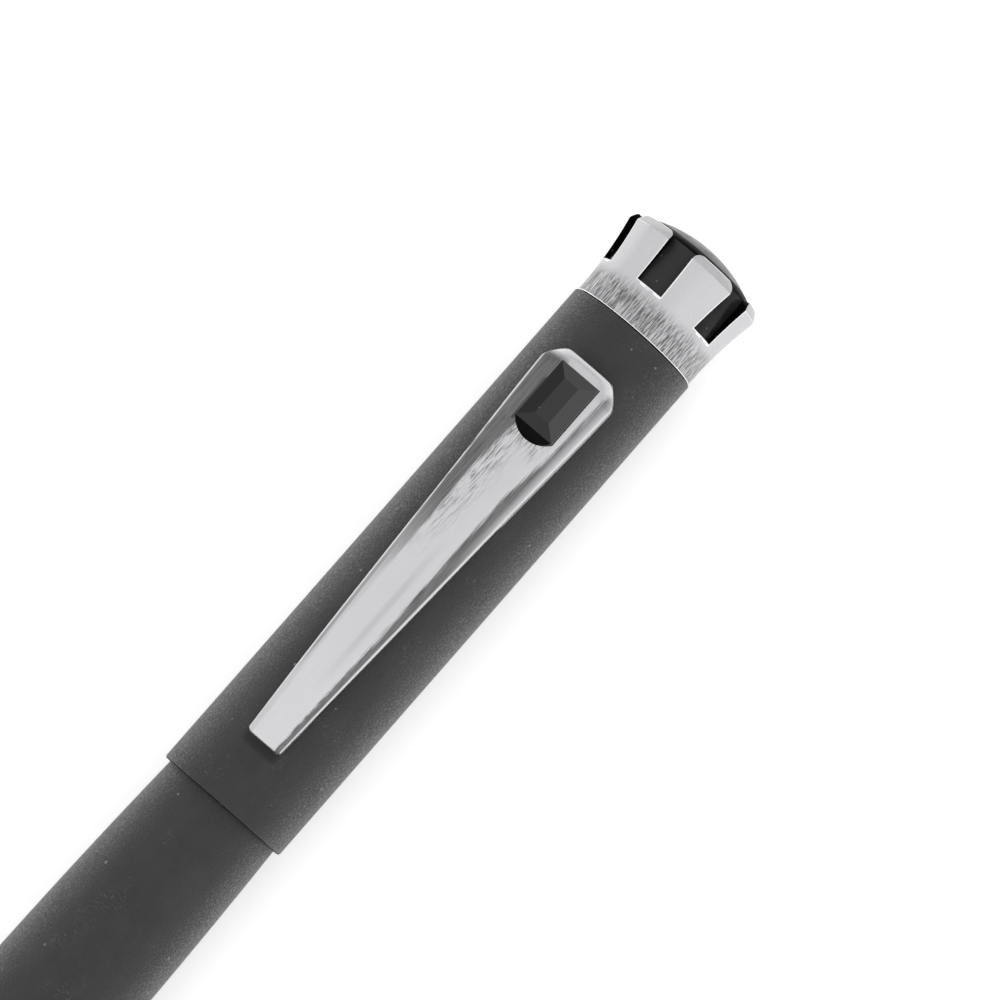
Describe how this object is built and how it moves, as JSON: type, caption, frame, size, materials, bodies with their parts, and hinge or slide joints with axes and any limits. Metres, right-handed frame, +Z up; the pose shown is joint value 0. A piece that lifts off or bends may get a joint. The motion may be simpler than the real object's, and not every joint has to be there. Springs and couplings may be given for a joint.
{
  "type": "counterfeit detector pen",
  "caption": "Capped detector pen with a fibre nib, tapering steel clip, push-button in the clip head and a slotted steel crown that holds a lamp behind a black window.",
  "frame": {"origin": "middle of the pen's length and width, at its lowest point", "axes": "+X along the pen from tail to crown, +Z up through the clip, +Y completes the right-handed frame"},
  "size_m": [0.1412, 0.0142, 0.017],
  "materials": {
    "soft_touch": "soft-touch matt dark grey coat",
    "steel": "brushed along the pen",
    "spring_steel": "drawn wire",
    "black_gloss": "glossy black",
    "section_plastic": "satin black",
    "liner_plastic": "moulded grey",
    "natural_plastic": "moulded, translucent white",
    "brass": "turned",
    "cell_can": "nickel-plated",
    "contact_metal": "stamped strip",
    "seal_rubber": "matt",
    "nib_fibre": "iodine-brown felt",
    "wick_fibre": "ink-soaked fibre",
    "lamp_epoxy": "clear, faint violet",
    "lead_wire": "tinned"
  },
  "bodies": {
    "writing_unit": {"grip_section": "section_plastic", "coupling_ring": "steel", "snap_ring": "spring_steel", "nib_holder": "section_plastic", "fibre_nib": "nib_fibre", "ink_cartridge": "natural_plastic", "ink_wick": "wick_fibre", "cartridge_plug": "section_plastic"},
    "barrel": {"barrel_shell": "soft_touch", "thread_insert": "brass", "tail_ring": "steel", "tail_plug": "black_gloss", "refill_spring": "spring_steel"},
    "cap": {"cap_shell": "soft_touch", "cap_liner": "liner_plastic", "inner_cap": "liner_plastic", "nib_seal": "seal_rubber", "clip_bracket": "steel", "clip_spring": "spring_steel", "button_spring": "spring_steel", "contact_leaf": "contact_metal", "battery_sleeve": "natural_plastic", "battery_spring": "spring_steel", "rear_cell": "cell_can", "middle_cell": "cell_can", "front_cell": "cell_can"},
    "clip": {"pocket_clip": "steel", "clip_pin": "steel"},
    "button": {"clip_button": "black_gloss", "button_plunger": "section_plastic"},
    "crown": {"crown_ring": "steel", "crown_seal": "seal_rubber", "crown_window": "black_gloss", "uv_led": "lamp_epoxy", "long_lead": "lead_wire", "short_lead": "lead_wire", "led_holder": "section_plastic", "contact_plate": "contact_metal"}
  },
  "joints": [
    {"name": "cap_pull", "type": "slide", "parent": "writing_unit", "child": "cap", "axis": [1, 0, 0], "range_m": [0, 0.05]},
    {"name": "barrel_pull", "type": "slide", "parent": "writing_unit", "child": "barrel", "axis": [-1, 0, 0], "range_m": [0, 0.062]},
    {"name": "crown_pull", "type": "slide", "parent": "cap", "child": "crown", "axis": [1, 0, 0], "range_m": [0, 0.014]},
    {"name": "clip_open", "type": "hinge", "parent": "cap", "child": "clip", "pos_m": [0.0453, 0, 0.01435], "axis": [0, 1, 0], "range_deg": [0, 3], "stiffness_Nm_per_rad": 1.2, "springref_deg": -1.72, "deforming": ["clip_spring"]},
    {"name": "button_press", "type": "slide", "parent": "clip", "child": "button", "axis": [0, 0, -1], "range_m": [0, 0.0004], "stiffness_N_per_m": 1500, "springref_m": -0.0005, "deforming": ["button_spring", "contact_leaf"]}
  ]
}
